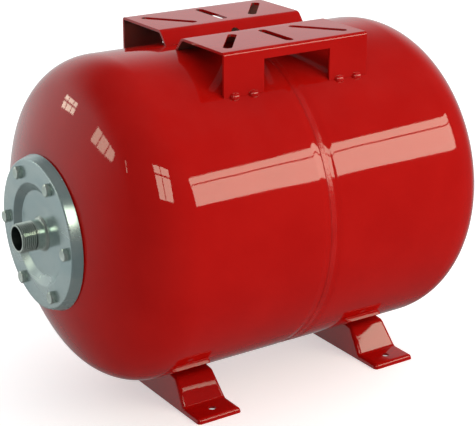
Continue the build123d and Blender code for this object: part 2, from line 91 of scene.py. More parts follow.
# %% Outlines and turning
def rounded(corners, steps=6):
    """(x, radius, corner round) points as a line with an arc in each corner that has a round."""
    line = []
    count = len(corners)
    for i, (x, r, fillet) in enumerate(corners):
        here = Vector((x, r))
        before = Vector(corners[i - 1][:2]) - here
        after = Vector(corners[(i + 1) % count][:2]) - here
        if fillet == 0:
            line.append((x, r))
            continue
        angle = before.angle(after)
        reach = min(fillet / math.tan(angle / 2), 0.49 * before.length, 0.49 * after.length)
        bend = reach * math.tan(angle / 2)
        middle = (before.normalized() + after.normalized()).normalized()
        centre = here + middle * bend / math.sin(angle / 2)
        start = here + before.normalized() * reach - centre
        end = here + after.normalized() * reach - centre
        swing = start.angle(end)
        for step in range(steps + 1):
            share = step / steps
            from_start = start * math.sin((1 - share) * swing)
            from_end = end * math.sin(share * swing)
            line.append(tuple(centre + (from_start + from_end) / math.sin(swing)))
    return line


def finish_mesh(name, mesh, material, sharp=35):
    """An object of a mesh, smooth except where faces meet at more than the sharp angle."""
    mesh.shade_smooth()
    mesh.set_sharp_from_angle(angle=math.radians(sharp))
    mesh.materials.clear()
    mesh.materials.append(material)
    piece = bpy.data.objects.new(name, mesh)
    bpy.context.scene.collection.objects.link(piece)
    return piece


def turn(name, line, material, segments=192, shape=None, centre=None, sharp=35):
    """The closed line of (x, radius) points turned about the tank's axis, or about a given height.

    shape, if given, is a function of x, radius and angle that returns the radius to use there.
    """
    height = AXIS_HEIGHT if centre is None else centre
    work = bmesh.new()
    rings = []
    for x, r in line:
        if r < 1e-6:
            rings.append([work.verts.new((x, 0, height))])
            continue
        ring = []
        for k in range(segments):
            angle = 2 * math.pi * k / segments
            radius = shape(x, r, angle) if shape else r
            ring.append(work.verts.new((x, -radius * math.sin(angle), height + radius * math.cos(angle))))
        rings.append(ring)
    for i, ring in enumerate(rings):
        following = rings[(i + 1) % len(rings)]
        if len(ring) == 1 and len(following) == 1:
            continue
        for k in range(segments):
            corners = [
                ring[k % len(ring)],
                ring[(k + 1) % len(ring)],
                following[(k + 1) % len(following)],
                following[k % len(following)],
            ]
            unique = list(dict.fromkeys(corners))
            work.faces.new(unique)
    bmesh.ops.recalc_face_normals(work, faces=work.faces)
    mesh = bpy.data.meshes.new(name)
    work.to_mesh(mesh)
    work.free()
    return finish_mesh(name, mesh, material, sharp)


def place(piece, body, slot, *nodes):
    """Ties a finished piece to its body and hides the frame nodes that it stands for. The slot is not used.
    """
    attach(piece, body)
    if nodes:
        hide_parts(*nodes)
    faces = len(piece.data.polygons)
    print(f"{piece.name}: {faces} faces on {body}")
    return piece


# %% [markdown]
# ## Shared effects as node groups
# Three effects come back in several finishes. Sprayed paint and plated sheet are never quite flat,
# zinc plating dries in soft streaks, and every upward face gathers a little dust. Each effect is a
# group with named inputs, built once and placed in each material with values of its own.


# %% Node helpers
def new_group(name, inputs, outputs):
    """A shader node group with float inputs given as a dict of defaults, and float outputs."""
    tree = bpy.data.node_groups.new(name, "ShaderNodeTree")
    for label, value in inputs.items():
        socket = tree.interface.new_socket(label, in_out="INPUT", socket_type="NodeSocketFloat")
        socket.default_value = value
    for label in outputs:
        tree.interface.new_socket(label, in_out="OUTPUT", socket_type="NodeSocketFloat")
    return tree, tree.nodes.new("NodeGroupInput"), tree.nodes.new("NodeGroupOutput")


def math_node(tree, operation, first, second, third=None):
    """A Math node whose inputs are sockets or plain numbers; returns its output."""
    node = tree.nodes.new("ShaderNodeMath")
    node.operation = operation
    for index, value in enumerate((first, second, third)):
        if value is None:
            continue
        if isinstance(value, (int, float)):
            node.inputs[index].default_value = value
        else:
            tree.links.new(value, node.inputs[index])
    return node.outputs[0]


def noise(tree, scale, detail=2.0, stretch=(1, 1, 1), roughness=0.5):
    """Noise on Object coordinates; scale is a socket or a number, in waves per metre."""
    coordinates = tree.nodes.new("ShaderNodeTexCoord")
    mapping = tree.nodes.new("ShaderNodeMapping")
    mapping.inputs["Scale"].default_value = stretch
    texture = tree.nodes.new("ShaderNodeTexNoise")
    texture.inputs["Detail"].default_value = detail
    texture.inputs["Roughness"].default_value = roughness
    tree.links.new(coordinates.outputs["Object"], mapping.inputs["Vector"])
    tree.links.new(mapping.outputs["Vector"], texture.inputs["Vector"])
    if isinstance(scale, (int, float)):
        texture.inputs["Scale"].default_value = scale
    else:
        tree.links.new(scale, texture.inputs["Scale"])
    return texture.outputs["Fac"]


def between(tree, value, low, high):
    """The value spread from low..high to 0..1, with smooth ends."""
    node = tree.nodes.new("ShaderNodeMapRange")
    node.interpolation_type = "SMOOTHSTEP"
    node.inputs["From Min"].default_value = low
    node.inputs["From Max"].default_value = high
    tree.links.new(value, node.inputs["Value"])
    return node.outputs["Result"]


# %% The three shared groups
sheet_waves, ports_in, ports_out = new_group(
    "sheet_waves",
    {"Wave Scale": 9.0, "Wave Height": 1.0, "Peel Scale": 420.0, "Peel Height": 0.1},
    ["Height"],
)
wave = math_node(sheet_waves, "MULTIPLY", noise(sheet_waves, ports_in.outputs["Wave Scale"], 1.0),
                 ports_in.outputs["Wave Height"])
peel = math_node(sheet_waves, "MULTIPLY", noise(sheet_waves, ports_in.outputs["Peel Scale"], 2.0),
                 ports_in.outputs["Peel Height"])
sheet_waves.links.new(math_node(sheet_waves, "ADD", wave, peel), ports_out.inputs["Height"])

dust, ports_in, ports_out = new_group("dust", {"Patch Scale": 30.0, "Amount": 0.1}, ["Mask"])
facing = dust.nodes.new("ShaderNodeNewGeometry")
split = dust.nodes.new("ShaderNodeSeparateXYZ")
dust.links.new(facing.outputs["Normal"], split.inputs[0])
upward = between(dust, split.outputs["Z"], 0.2, 1.0)
patches = between(dust, noise(dust, ports_in.outputs["Patch Scale"], 6.0, roughness=0.65), 0.35, 0.75)
settled = math_node(dust, "MULTIPLY", upward, patches)
dust.links.new(math_node(dust, "MULTIPLY", settled, ports_in.outputs["Amount"]), ports_out.inputs["Mask"])

streaks, ports_in, ports_out = new_group("plating_streaks", {"Streak Scale": 40.0}, ["Tone"])
cloud = noise(streaks, ports_in.outputs["Streak Scale"], 4.0, (0.6, 0.35, 1.0), 0.6)
streaks.links.new(between(streaks, cloud, 0.25, 0.75), ports_out.inputs["Tone"])
print("node groups", sorted(group.name for group in bpy.data.node_groups))

# %% [markdown]
# ## Finishes
# Every finish starts from one Principled shader. Numbers that are the same all over the surface are
# set on its own sockets, and only what changes over the surface is linked in: a tone between two
# colours, a roughness between two values, and a height for the Bump node.


# %% A finish maker
COAT_ROUGHNESS = 0.03
TONE_SCALE = 14.0
DUST_COLOUR = (0.42, 0.36, 0.33, 1)


def finish(name, dark, light, rough, metallic=0.0, coat=0.0, bump=0.1, waves=None, streak=None, dusty=0.0):
    """A material whose colour and roughness move between two values each, with a fine relief."""
    material = bpy.data.materials.new(name)
    material.use_nodes = True
    tree = material.node_tree
    shader = tree.nodes["Principled BSDF"]
    shader.inputs["Metallic"].default_value = metallic
    shader.inputs["Coat Roughness"].default_value = COAT_ROUGHNESS
    shader.inputs["Coat Weight"].default_value = coat
    if streak:
        plating = tree.nodes.new("ShaderNodeGroup")
        plating.node_tree = streaks
        plating.inputs["Streak Scale"].default_value = streak
        tone = plating.outputs["Tone"]
    else:
        tone = between(tree, noise(tree, TONE_SCALE, 3.0), 0.3, 0.7)
    colour = tree.nodes.new("ShaderNodeMix")
    colour.data_type = "RGBA"
    colour.inputs[6].default_value = (*dark, 1)
    colour.inputs[7].default_value = (*light, 1)
    tree.links.new(tone, colour.inputs[0])
    result = colour.outputs[2]
    roughness = math_node(tree, "MULTIPLY_ADD", tone, rough[1] - rough[0], rough[0])
    if dusty:
        layer = tree.nodes.new("ShaderNodeGroup")
        layer.node_tree = dust
        layer.inputs["Amount"].default_value = dusty
        veil = tree.nodes.new("ShaderNodeMix")
        veil.data_type = "RGBA"
        veil.inputs[7].default_value = DUST_COLOUR
        tree.links.new(layer.outputs["Mask"], veil.inputs[0])
        tree.links.new(result, veil.inputs[6])
        result = veil.outputs[2]
        roughness = math_node(tree, "ADD", roughness, layer.outputs["Mask"])
    tree.links.new(result, shader.inputs["Base Color"])
    tree.links.new(roughness, shader.inputs["Roughness"])
    relief = tree.nodes.new("ShaderNodeGroup")
    relief.node_tree = sheet_waves
    for label, value in (waves or {}).items():
        relief.inputs[label].default_value = value
    bumps = tree.nodes.new("ShaderNodeBump")
    bumps.inputs["Strength"].default_value = bump
    bumps.inputs["Distance"].default_value = MM
    tree.links.new(relief.outputs["Height"], bumps.inputs["Height"])
    tree.links.new(bumps.outputs["Normal"], shader.inputs["Normal"])
    print("finish", name)
    return material


# %% The finishes
SOFT_SHEET = {"Wave Scale": 12.0, "Wave Height": 1.6, "Peel Scale": 500.0, "Peel Height": 0.02}
PRESSED = {"Wave Scale": 30.0, "Wave Height": 0.3, "Peel Scale": 700.0, "Peel Height": 0.05}
FINE = {"Wave Scale": 200.0, "Wave Height": 0.1, "Peel Scale": 1500.0, "Peel Height": 0.05}
WELDED = {"Wave Scale": 260.0, "Wave Height": 0.5, "Peel Scale": 1500.0, "Peel Height": 0.1}
red_paint = finish("red_paint", (0.50, 0.0035, 0.0020), (0.54, 0.0050, 0.0030), (0.03, 0.05), coat=0.25,
                   bump=0.35, waves=SOFT_SHEET, dusty=0.012)
red_weld = finish("red_weld", (0.46, 0.0040, 0.0025), (0.60, 0.0060, 0.0040), (0.10, 0.22), coat=0.5,
                  bump=0.7, waves=WELDED)
# Painted shade: dark grey-green to dark red for the faces inside the brackets' channels.
channel_shade_paint = finish("channel_shade_paint", (0.075, 0.085, 0.068), (0.24, 0.026, 0.018), (0.30, 0.50), bump=0.3,
                    waves=PRESSED, dusty=0.03)
# Rougher than red_weld, which is the weld's own finish, and darker in colour, which is painted shade between
# the feet and the tank.
dull_shaded_weld = finish("dull_shaded_weld", (0.20, 0.0040, 0.0030), (0.34, 0.0060, 0.0040), (0.50, 0.70), bump=0.7,
                   waves=WELDED)
zinc_plate = finish("zinc_plate", (0.44, 0.58, 0.59), (0.62, 0.72, 0.70), (0.17, 0.30), metallic=0.72,
                    bump=0.3, waves=PRESSED, streak=26.0, dusty=0.01)
zinc_bolts = finish("zinc_bolts", (0.52, 0.63, 0.57), (0.80, 0.87, 0.80), (0.12, 0.24), metallic=0.80,
                    bump=0.3, waves=FINE, streak=90.0)
plain_steel = finish("plain_steel", (0.30, 0.30, 0.31), (0.52, 0.52, 0.52), (0.28, 0.45), metallic=1.0,
                     bump=0.3, waves=FINE, streak=60.0)
# Painted shade: a near-black steel colour for the pipe's bore and thread roots.
bore_shade_steel = finish("bore_shade_steel", (0.020, 0.030, 0.028), (0.045, 0.060, 0.055), (0.35, 0.55), metallic=0.6,
                    bump=0.4, waves=FINE, streak=60.0)
spring_steel = finish("spring_steel", (0.45, 0.45, 0.47), (0.62, 0.62, 0.64), (0.20, 0.30), metallic=1.0,
                      bump=0.2, waves=FINE, streak=120.0)
brass = finish("brass", (0.62, 0.42, 0.16), (0.80, 0.60, 0.28), (0.18, 0.32), metallic=1.0, bump=0.25,
               waves=FINE, streak=110.0)
black_rubber = finish("black_rubber", (0.012, 0.012, 0.013), (0.030, 0.029, 0.028), (0.55, 0.75), bump=0.4,
                      waves=PRESSED, dusty=0.05)
black_plastic = finish("black_plastic", (0.012, 0.012, 0.013), (0.022, 0.022, 0.023), (0.34, 0.46),
                       bump=0.3, waves={"Wave Scale": 60.0, "Wave Height": 0.2, "Peel Scale": 2200.0,
                                        "Peel Height": 0.2}, dusty=0.04)

# %% [markdown]
# ## The tank's two halves
# Each half is drawn from one sheet: a straight wall, a tight knuckle and a flat crown. Near the joint
# the wall dips a little, because welding draws it in. That dip bends every reflection that crosses
# the seam, so it is part of the mesh and not of the material.


# %% Shell outlines
DIP_STEPS = 12
WALL_STEPS = 8
ARC_STEPS = 28


def half_line(seam, reach, inset):
    """Points (distance along the tank, radius) from a half's edge at the seam to the radius reach."""
    low = TANK_RADIUS - SEAM_DIP - inset
    high = TANK_RADIUS - inset
    land = seam + EDGE_GAP + BEAD_HALF
    line = [(seam + EDGE_GAP, low), (land, low)]
    rise = DIP_LENGTH + seam - land
    for step in range(1, DIP_STEPS + 1):
        share = step / DIP_STEPS
        line.append((land + rise * share, low + (high - low) * share * share * (3 - 2 * share)))
    for step in range(1, WALL_STEPS + 1):
        line.append((land + rise + (STRAIGHT_HALF - land - rise) * step / WALL_STEPS, high))
    meet = math.atan2(TANK_RADIUS - KNUCKLE, STRAIGHT_HALF - CROWN_CENTRE)
    bend = KNUCKLE - inset
    for step in range(1, ARC_STEPS + 1):
        angle = math.pi / 2 - (math.pi / 2 - meet) * step / ARC_STEPS
        line.append((STRAIGHT_HALF + bend * math.cos(angle), TANK_RADIUS - KNUCKLE + bend * math.sin(angle)))
    crown = CROWN - inset
    last = math.asin(reach / crown)
    for step in range(1, ARC_STEPS + 1):
        angle = meet + (last - meet) * step / ARC_STEPS
        line.append((CROWN_CENTRE + crown * math.cos(angle), crown * math.sin(angle)))
    return line


def shell(name, node, side, reach):
    """One painted half of the tank: side is -1 towards the water connection and 1 towards the valve."""
    seam = side * SEAM_X
    outside = half_line(seam, reach, 0)
    inside = half_line(seam, reach, SHELL_WALL)
    line = [(side * x, r) for x, r in outside + inside[::-1]]
    piece = turn(name, line, red_paint, segments=320)
    return place(piece, "vessel", "red_paint", node)


# %% Make the shells
neck_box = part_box("neck_ring")
SEAT_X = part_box("flange_cover")[0].x + COVER_STAND_OFF
NECK_HOLE = math.sqrt(CROWN ** 2 - (-SEAT_X - CROWN_CENTRE) ** 2)
boss_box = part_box("valve_boss")
BOSS_RADIUS = (boss_box[1].y - boss_box[0].y) / 2
shell("front_shell_skin", "front_shell", -1, NECK_HOLE)
shell("rear_shell_skin", "rear_shell", 1, BOSS_RADIUS + 0.1 * MM)
neck = rounded([
    (neck_box[0].x, NECK_RING_HOLE, 0),
    (neck_box[0].x, NECK_HOLE, 0),
    (neck_box[1].x, NECK_RING_OUTSIDE, 0.5 * MM),
    (neck_box[1].x, NECK_RING_HOLE, 0.5 * MM),
])
place(turn("neck_ring_turned", neck, plain_steel), "vessel", "plain_steel", "neck_ring")

# %% [markdown]
# ## Copies round a circle, by Geometry Nodes
# Bolts, ribs and the ripples of a weld all repeat about an axis. One tree serves them all: it makes
# Count points, works out each one's angle, puts a copy of the object's own mesh there, and turns it
# to suit. Modelling only the first copy keeps every one alike.

# %% How every tree begins and ends
def geometry_tree(name, inputs):
    """A Geometry Nodes tree with these (label, kind) inputs, and the inputs' identifiers by label."""
    tree = bpy.data.node_groups.new(name, "GeometryNodeTree")
    sockets = {}
    for label, kind in inputs:
        socket = tree.interface.new_socket(label, in_out="INPUT", socket_type="NodeSocket" + kind)
        sockets[label] = socket.identifier
    tree.interface.new_socket("Geometry", in_out="OUTPUT", socket_type="NodeSocketGeometry")
    return tree, sockets


def end_tree(tree, source, geometry):
    """Makes instances real and gives everything the tree's Material input."""
    real = tree.nodes.new("GeometryNodeRealizeInstances")
    paint = tree.nodes.new("GeometryNodeSetMaterial")
    result = tree.nodes.new("NodeGroupOutput")
    tree.links.new(geometry, real.inputs[0])
    tree.links.new(real.outputs[0], paint.inputs["Geometry"])
    tree.links.new(source.outputs["Material"], paint.inputs["Material"])
    tree.links.new(paint.outputs[0], result.inputs[0])


# %% The tree that copies round a circle
def build_ring_tree():
    """Copies of the object's own mesh round the X axis, each turned to face outwards."""
    tree, sockets = geometry_tree("copies_round_a_circle", (
        ("Geometry", "Geometry"),
        ("Count", "Int"),
        ("Start Angle", "Float"),
        ("Radius", "Float"),
        ("Axis Height", "Float"),
        ("Material", "Material"),
    ))
    source = tree.nodes.new("NodeGroupInput")
    given = source.outputs
    index = tree.nodes.new("GeometryNodeInputIndex")
    step_angle = math_node(tree, "DIVIDE", 2 * math.pi, given["Count"])
    angle = math_node(tree, "MULTIPLY_ADD", index.outputs[0], step_angle, given["Start Angle"])
    sine = math_node(tree, "SINE", angle, None)
    cosine = math_node(tree, "COSINE", angle, None)
    across = math_node(tree, "MULTIPLY", math_node(tree, "MULTIPLY", sine, given["Radius"]), -1.0)
    upright = math_node(tree, "MULTIPLY_ADD", cosine, given["Radius"], given["Axis Height"])
    position = tree.nodes.new("ShaderNodeCombineXYZ")
    tree.links.new(across, position.inputs["Y"])
    tree.links.new(upright, position.inputs["Z"])
    rotation = tree.nodes.new("ShaderNodeCombineXYZ")
    tree.links.new(angle, rotation.inputs["X"])
    points = tree.nodes.new("GeometryNodePoints")
    tree.links.new(given["Count"], points.inputs["Count"])
    tree.links.new(position.outputs[0], points.inputs["Position"])
    copies = tree.nodes.new("GeometryNodeInstanceOnPoints")
    tree.links.new(points.outputs[0], copies.inputs["Points"])
    tree.links.new(given["Geometry"], copies.inputs["Instance"])
    tree.links.new(rotation.outputs[0], copies.inputs["Rotation"])
    end_tree(tree, source, copies.outputs[0])
    return tree, sockets


ring_tree, ring_sockets = build_ring_tree()
print("ring tree inputs", sorted(ring_sockets))


# %% Turn a tree's result into a plain mesh
def bake_tree(piece, tree, sockets, values):
    """Runs a Geometry Nodes tree on a piece with these values, and keeps its result as the mesh."""
    modifier = piece.modifiers.new("tree", "NODES")
    modifier.node_group = tree
    for label, value in values.items():
        modifier[sockets[label]] = value
    bpy.context.view_layer.update()
    evaluated = piece.evaluated_get(bpy.context.evaluated_depsgraph_get())
    mesh = bpy.data.meshes.new_from_object(evaluated)
    piece.modifiers.remove(modifier)
    piece.data = mesh
    mesh.name = piece.name
    return piece


def round_the_axis(piece, count, radius, material, start=0.0):
    """Copies a piece, modelled at the origin, round the tank's axis."""
    values = {
        "Count": count,
        "Start Angle": start,
        "Radius": radius,
        "Axis Height": AXIS_HEIGHT,
        "Material": material,
    }
    return bake_tree(piece, ring_tree, ring_sockets, values)


# %% [markdown]
# ## The girth weld
# The two halves are joined by one machine-laid bead. It has a low round back with small crescents
# across it, one for each drop of molten metal. The back is turned, and the crescents are copies of
# one small scale that leans against the next.

# %% Girth weld
weld_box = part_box("girth_weld")
BEAD_FOOT = TANK_RADIUS - SEAM_DIP
BEAD_TOP = (weld_box[1].y - weld_box[0].y) / 2
RIPPLE_PITCH = 3.2 * MM
bead_line = []
for step in range(9):
    share = step / 8
    rise = (BEAD_TOP - BEAD_FOOT - 0.12 * MM) * math.sin(math.pi * share)
    bead_line.append((SEAM_X - BEAD_HALF + 2 * BEAD_HALF * share, BEAD_FOOT + rise))
bead_line += [
    (SEAM_X + BEAD_HALF, BEAD_FOOT - 1.2 * MM),
    (SEAM_X - BEAD_HALF, BEAD_FOOT - 1.2 * MM),
]
place(turn("girth_weld_back", bead_line, red_weld, segments=320), "vessel", "red_paint", "girth_weld")


def crescent(name, half_width, pitch, height, steps=8):
    """A low curved scale across a bead, lying along Y, with its crest towards +Z."""
    work = bmesh.new()
    rows = []
    for i in range(steps + 1):
        across_share = 2 * i / steps - 1
        bow = 0.9 * pitch * across_share * across_share
        crest = height * (1 - across_share * across_share)
        profile = [(-0.6 * pitch, -0.10 * MM), (0.15 * pitch, crest), (0.6 * pitch, -0.10 * MM)]
        rows.append([work.verts.new((half_width * across_share, y + bow, z)) for y, z in profile])
    for low_row, high_row in zip(rows, rows[1:]):
        for k in range(3):
            following = (k + 1) % 3
            work.faces.new((low_row[k], low_row[following], high_row[following], high_row[k]))
    work.faces.new(rows[0])
    work.faces.new(rows[-1])
    bmesh.ops.recalc_face_normals(work, faces=work.faces)
    mesh = bpy.data.meshes.new(name)
    work.to_mesh(mesh)
    work.free()
    return mesh


scale = crescent("ripple", 0.72 * BEAD_HALF, RIPPLE_PITCH, 0.16 * MM)
ripple = finish_mesh("girth_weld_ripples", scale, red_weld)
ripple.data.transform(Matrix.Translation((SEAM_X, 0, 0)))
ripple_count = round(2 * math.pi * BEAD_TOP / RIPPLE_PITCH)
round_the_axis(ripple, ripple_count, BEAD_TOP - 0.17 * MM, red_weld)
place(ripple, "vessel", "red_paint")

# %% [markdown]
# ## Folded and pressed sheet: brackets and feet
# The frame already holds these shapes exactly, holes and all. What it lacks is the soft edge that a
# sheared and painted sheet has. A copy is merged into a closed mesh first, then a Bevel modifier
# rounds every hard edge, and its hardened normals keep the flat faces flat. The faces that look into
# a bracket's channel get a dark colour, which is painted shade.


# %% Softened copies
def softened(name, node, material, width, angle=38):
    """A copy of a frame node with its loose triangles merged and its hard edges rounded."""
    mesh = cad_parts[node].data.copy()
    work = bmesh.new()
    work.from_mesh(mesh)
    bmesh.ops.remove_doubles(work, verts=work.verts, dist=0.002 * MM)
    bmesh.ops.dissolve_limit(
        work, angle_limit=math.radians(0.5), use_dissolve_boundaries=False, verts=work.verts, edges=work.edges
    )
    bmesh.ops.recalc_face_normals(work, faces=work.faces)
    work.to_mesh(mesh)
    work.free()
    if mesh.has_custom_normals:
        mesh.attributes.remove(mesh.attributes["custom_normal"])
    piece = finish_mesh(name, mesh, material, angle)
    if width > 0:
        bevel = piece.modifiers.new("soft edges", "BEVEL")
        bevel.width = width
        bevel.segments = 3
        bevel.limit_method = "ANGLE"
        bevel.angle_limit = math.radians(angle)
        bevel.harden_normals = True
        bevel.use_clamp_overlap = True
        evaluated = piece.evaluated_get(bpy.context.evaluated_depsgraph_get())
        piece.data = bpy.data.meshes.new_from_object(evaluated)
        piece.modifiers.clear()
    return piece


# %% Brackets, feet and their welds
CHANNEL_DEPTH = 25 * MM


def paint_channel_shade(piece, middle_y, material):
    """Gives the faces that look into a bracket's channel a second, dark material: painted shade."""
    piece.data.materials.append(material)
    low_z = AXIS_HEIGHT + TANK_RADIUS - CHANNEL_DEPTH
    count = 0
    for face in piece.data.polygons:
        inwards = Vector((0, middle_y - face.center.y, low_z - face.center.z)).normalized()
        if face.normal.dot(inwards) > 0.25 and abs(face.normal.x) < 0.3:
            face.material_index = 1
            count += 1
    print(piece.name, "inner faces", count)


for node in ("far_pump_bracket", "near_pump_bracket"):
    bracket = softened(node + "_painted", node, red_paint, 0.5 * MM)
    low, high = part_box(node)
    # Painted shade on the faces inside this bracket's channel.
    paint_channel_shade(bracket, (low.y + high.y) / 2, channel_shade_paint)
    place(bracket, "vessel", "red_paint", node)
for node in ("front_foot", "rear_foot"):
    place(softened(node + "_painted", node, red_paint, 0.6 * MM), "vessel", "red_paint", node)
for node in ("far_bracket_welds", "near_bracket_welds"):
    place(softened(node + "_painted", node, red_weld, 0.4 * MM, 50), "vessel", "red_paint", node)
for node in ("front_foot_welds", "rear_foot_welds"):
    # The feet's welds take the rough, darker weld finish; its darker colour is painted shade.
    place(softened(node + "_painted", node, dull_shaded_weld, 0.4 * MM, 50), "vessel", "red_paint", node)

# %% [markdown]
# ## The flange cover
# A round of zinc-plated sheet, pressed into a shallow dish: a rim to bolt down, a sunk middle for the
# pipe, and a skirt that hides the rubber. All its bends are turned arcs. The bolt heads hide the
# bolt holes, so the turned sheet needs none.

# %% Flange cover
cover_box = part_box("flange_cover")
FACE_X = cover_box[0].x
RIM_RADIUS = (cover_box[1].y - cover_box[0].y) / 2
COVER_SHEET = 2 * MM
PIPE_RADIUS = (nipple_box[1].y - nipple_box[0].y) / 2
FACE_RADIUS = RIM_RADIUS - 4.2 * MM
RECESS_OUTER = 57.3 * MM
RECESS_INNER = 48 * MM
RECESS_X = FACE_X + 6.4 * MM
cover_line = rounded([
    (cover_box[1].x, RIM_RADIUS, 0.4 * MM),
    (FACE_X, FACE_RADIUS, 2.6 * MM),
    (FACE_X, RECESS_OUTER, 3.2 * MM),
    (RECESS_X, RECESS_INNER, 2.5 * MM),
    (RECESS_X, PIPE_RADIUS - 0.1 * MM, 0),
    (RECESS_X + COVER_SHEET, PIPE_RADIUS - 0.1 * MM, 0),
    (RECESS_X + COVER_SHEET, RECESS_INNER + 0.8 * MM, 3.0 * MM),
    (FACE_X + COVER_SHEET, RECESS_OUTER + 0.8 * MM, 1.0 * MM),
    (FACE_X + COVER_SHEET, FACE_RADIUS - 1.6 * MM, 1.0 * MM),
    (cover_box[1].x, RIM_RADIUS - 2.1 * MM, 0.4 * MM),
], steps=8)
place(turn("flange_cover_pressed", cover_line, zinc_plate, 256), "vessel", "zinc_plate", "flange_cover")

# %% [markdown]
# ## A helix by Geometry Nodes
# A screw thread and a coil spring are the same thing, a section that follows a helix. The tree makes
# a spiral, lays it along X, and sweeps a section with a given number of corners: four corners pointing
# outwards give the sharp crest of a thread, and many give round wire.

# %% The helix tree
HELIX_STEPS = 48


def build_helix_tree():
    """A section swept along a spiral about the X axis."""
    tree, sockets = geometry_tree("helix", (
        ("Geometry", "Geometry"),
        ("Turns", "Float"),
        ("Steps", "Int"),
        ("Start Radius", "Float"),
        ("End Radius", "Float"),
        ("Length", "Float"),
        ("Section Radius", "Float"),
        ("Section Corners", "Int"),
        ("Start", "Vector"),
        ("Material", "Material"),
    ))
    source = tree.nodes.new("NodeGroupInput")
    given = source.outputs
    spiral = tree.nodes.new("GeometryNodeCurveSpiral")
    tree.links.new(given["Turns"], spiral.inputs["Rotations"])
    tree.links.new(given["Steps"], spiral.inputs["Resolution"])
    tree.links.new(given["Start Radius"], spiral.inputs["Start Radius"])
    tree.links.new(given["End Radius"], spiral.inputs["End Radius"])
    tree.links.new(given["Length"], spiral.inputs["Height"])
    normals = tree.nodes.new("GeometryNodeSetCurveNormal")
    normals.mode = "Z_UP"
    tree.links.new(spiral.outputs[0], normals.inputs["Curve"])
    section = tree.nodes.new("GeometryNodeCurvePrimitiveCircle")
    tree.links.new(given["Section Radius"], section.inputs["Radius"])
    tree.links.new(given["Section Corners"], section.inputs["Resolution"])
    sweep = tree.nodes.new("GeometryNodeCurveToMesh")
    sweep.inputs["Fill Caps"].default_value = True
    tree.links.new(normals.outputs[0], sweep.inputs["Curve"])
    tree.links.new(section.outputs[0], sweep.inputs["Profile Curve"])
    lay = tree.nodes.new("GeometryNodeTransform")
    lay.inputs["Rotation"].default_value = (0, math.pi / 2, 0)
    tree.links.new(sweep.outputs[0], lay.inputs["Geometry"])
    tree.links.new(given["Start"], lay.inputs["Translation"])
    end_tree(tree, source, lay.outputs[0])
    return tree, sockets


helix_tree, helix_sockets = build_helix_tree()
print("helix tree inputs", sorted(helix_sockets))


def helix(name, material, start_x, length, turns, radius, end_radius, section_radius, corners, sharp=35):
    """A helix about the tank's axis from start_x on, swept with a section of that many corners."""
    piece = bpy.data.objects.new(name, bpy.data.meshes.new(name))
    bpy.context.scene.collection.objects.link(piece)
    values = {
        "Turns": turns,
        "Steps": HELIX_STEPS,
        "Start Radius": radius,
        "End Radius": end_radius,
        "Length": length,
        "Section Radius": section_radius,
        "Section Corners": corners,
        "Start": (start_x, 0.0, AXIS_HEIGHT),
        "Material": material,
    }
    bake_tree(piece, helix_tree, helix_sockets, values)
    work = bmesh.new()
    work.from_mesh(piece.data)
    bmesh.ops.recalc_face_normals(work, faces=work.faces)
    work.to_mesh(piece.data)
    work.free()
    piece.data.shade_smooth()
    piece.data.set_sharp_from_angle(angle=math.radians(sharp))
    return piece


# %% [markdown]
# ## The water connection
# A short steel pipe with an outside thread, welded into the dish. The thread covers the outer part,
# eleven turns to the inch, and the rest is plain pipe. The bore and the thread's roots get a dark
# steel colour, which is painted shade. The weld round the pipe's root is a narrow raised collar with
# faint ripples.

# %% Water connection
NIPPLE_END = nipple_box[0].x
BORE = 13.3 * MM
PITCH = 25.4 * MM / 11
THREAD_DEPTH = 1.1 * MM
THREAD_TURNS = 7
THREAD_START = NIPPLE_END + 1.6 * MM
THREAD_STOP = THREAD_START + THREAD_TURNS * PITCH + 0.3 * MM
CORE_RADIUS = PIPE_RADIUS - THREAD_DEPTH
nipple_line = rounded([
    (NIPPLE_END, BORE, 0.3 * MM),
    (NIPPLE_END, CORE_RADIUS - 0.1 * MM, 0.3 * MM),
    (NIPPLE_END + 1.0 * MM, CORE_RADIUS, 0.2 * MM),
    (THREAD_STOP, CORE_RADIUS, 0.3 * MM),
    (THREAD_STOP + 1.0 * MM, PIPE_RADIUS, 0.4 * MM),
    (nipple_box[1].x - 6 * MM, PIPE_RADIUS, 0.2 * MM),
    (nipple_box[1].x - 5.8 * MM, PIPE_RADIUS - 0.22 * MM, 0.1 * MM),
    (nipple_box[1].x, PIPE_RADIUS - 0.22 * MM, 0),
    (nipple_box[1].x, BORE, 0),
])


def paint_bore_shade(piece, material, bore, root, root_start, root_stop):
    """Paints shade on a pipe's bore, and on its thread's root from root_start to root_stop, as a darker
    material.
    """
    piece.data.materials.append(material)
    count = 0
    for face in piece.data.polygons:
        radius = math.hypot(face.center.y, face.center.z - AXIS_HEIGHT)
        if radius < bore or (radius < root and root_start < face.center.x < root_stop):
            face.material_index = 1
            count += 1
    print(piece.name, "dark faces", count)


pipe = turn("water_nipple_pipe", nipple_line, zinc_bolts, 128)
# Painted shade in the bore and in the thread's roots.
paint_bore_shade(pipe, bore_shade_steel, BORE + 0.1 * MM, CORE_RADIUS + 0.05 * MM, NIPPLE_END + 1.1 * MM, THREAD_STOP)
place(pipe, "vessel", "zinc_plate", "water_nipple")
crest = 0.42 * PITCH
thread = helix("water_nipple_thread", zinc_bolts, THREAD_START, THREAD_TURNS * PITCH, THREAD_TURNS,
               PIPE_RADIUS - crest - 0.15 * MM, PIPE_RADIUS - crest, crest, 4)
place(thread, "vessel", "zinc_plate")

collar_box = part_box("nipple_weld")
COLLAR = (collar_box[1].y - collar_box[0].y) / 2


def ripple_radius(x, r, angle):
    """Faint ripples round the collar."""
    return r - 0.10 * MM * (0.5 + 0.5 * math.sin(44 * angle + 900 * x))


